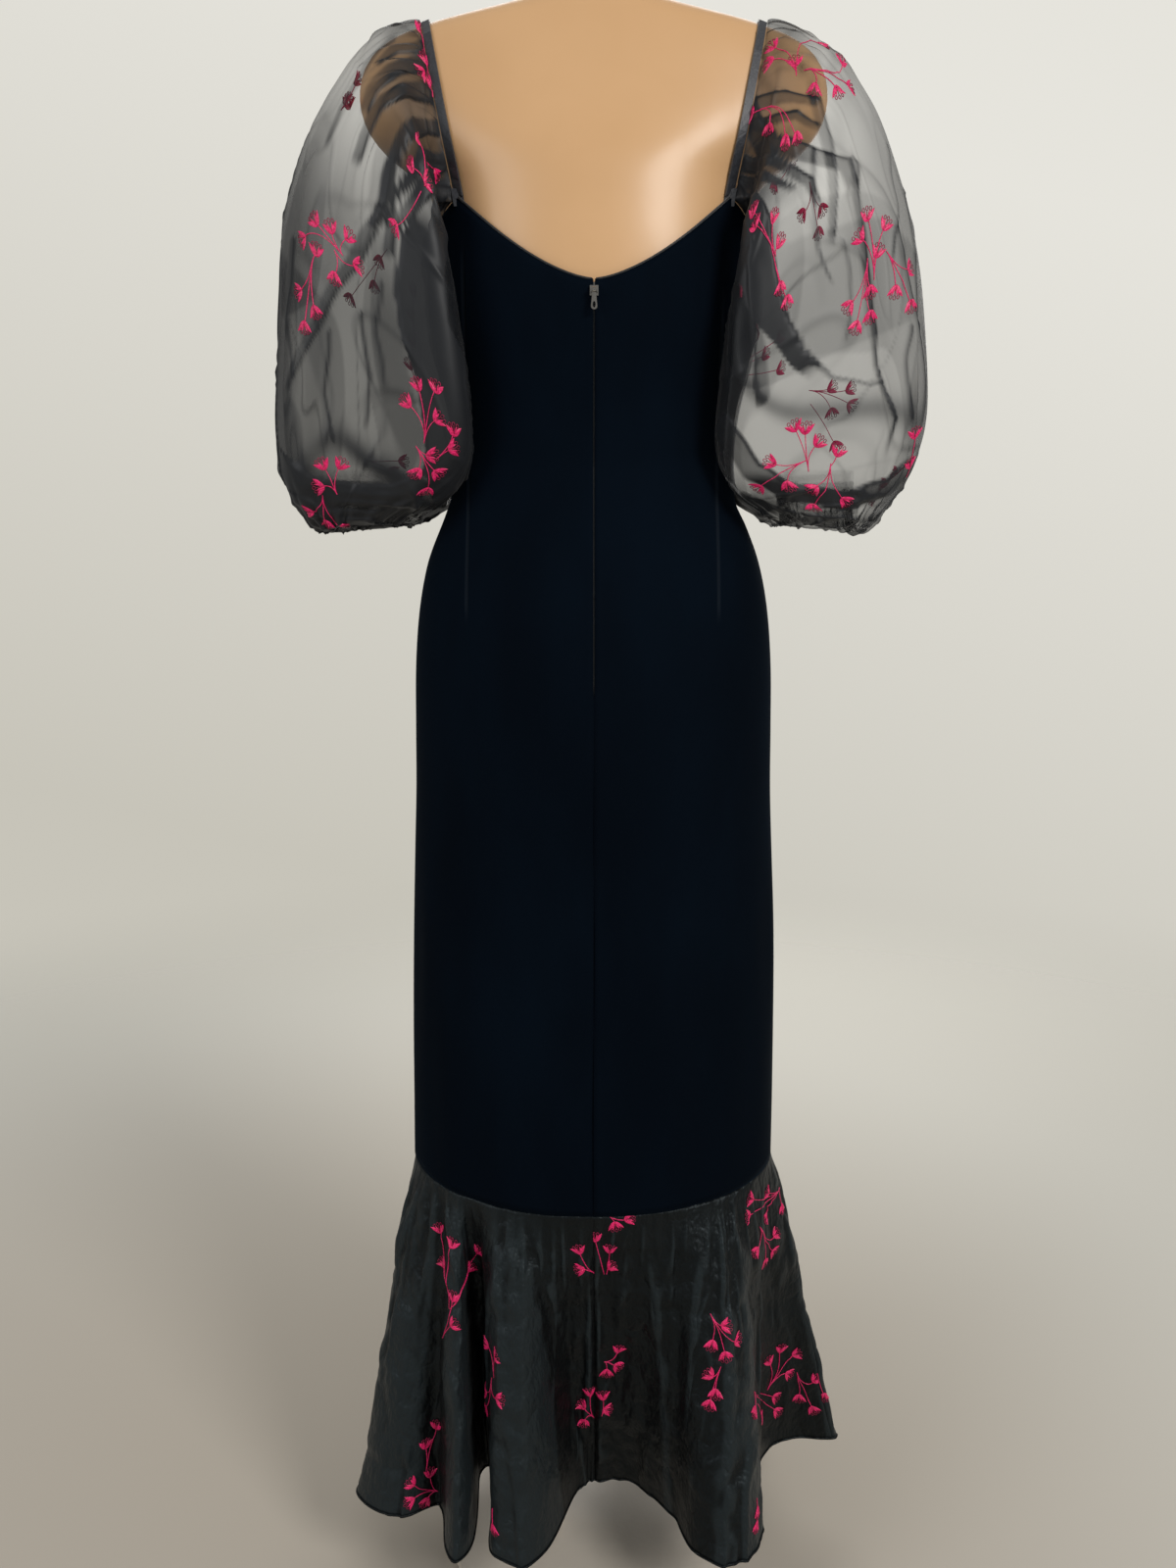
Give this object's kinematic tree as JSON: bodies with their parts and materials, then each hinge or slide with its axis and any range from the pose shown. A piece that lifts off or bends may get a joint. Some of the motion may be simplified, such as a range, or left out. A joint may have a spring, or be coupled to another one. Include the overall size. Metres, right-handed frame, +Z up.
{
  "type": "mermaid dress on a dress form",
  "caption": "Long black velvet mermaid dress with sheer embroidered puff sleeves, a back zip and a fluted flounce, worn on a limbless dress form with a pole and plate",
  "frame": {"origin": "centre of the underside of the stand's plate, on the floor", "axes": "+Z up. The dress's back, with its zip, faces -Y and its front +Y. The sleeve named left is at -X, as the picture shows the back."},
  "size_m": [0.5812, 0.336, 1.53],
  "materials": {
    "velvet": "black velvet with a blue cast",
    "strap_satin": "dark satin elastic",
    "organza": "sheer black organza",
    "cuff": "black organza gathered on elastic",
    "flounce": "black organza over taffeta, soft sheen",
    "zip_cloth": "woven zip tape with nylon coil",
    "zip_metal": "dark nickel plate",
    "torso_plastic": "glossy tan moulded plastic",
    "pole_steel": "brushed steel tube",
    "plate_paint": "stone satin paint"
  },
  "bodies": {
    "dress": {"back_left": "velvet", "back_right": "velvet", "front": "velvet", "strap_left": "strap_satin", "strap_right": "strap_satin", "sleeve_left": "organza", "sleeve_right": "organza", "cuff_left": "cuff", "cuff_right": "cuff", "flounce_back_left": "flounce", "flounce_back_right": "flounce", "flounce_front": "flounce", "zip_tape": "zip_cloth", "hook_and_eye": "zip_metal", "zip_slider": "zip_metal", "torso": "torso_plastic", "stand_pole": "pole_steel", "stand_plate": "plate_paint"},
    "pull": {"zip_pull": "zip_metal"}
  },
  "joints": [
    {"name": "zip_pull_hinge", "type": "hinge", "parent": "dress", "child": "pull", "pos_m": [0, -0.10818, 1.2265], "axis": [-1, 0, 0], "range_deg": [0, 150]}
  ]
}
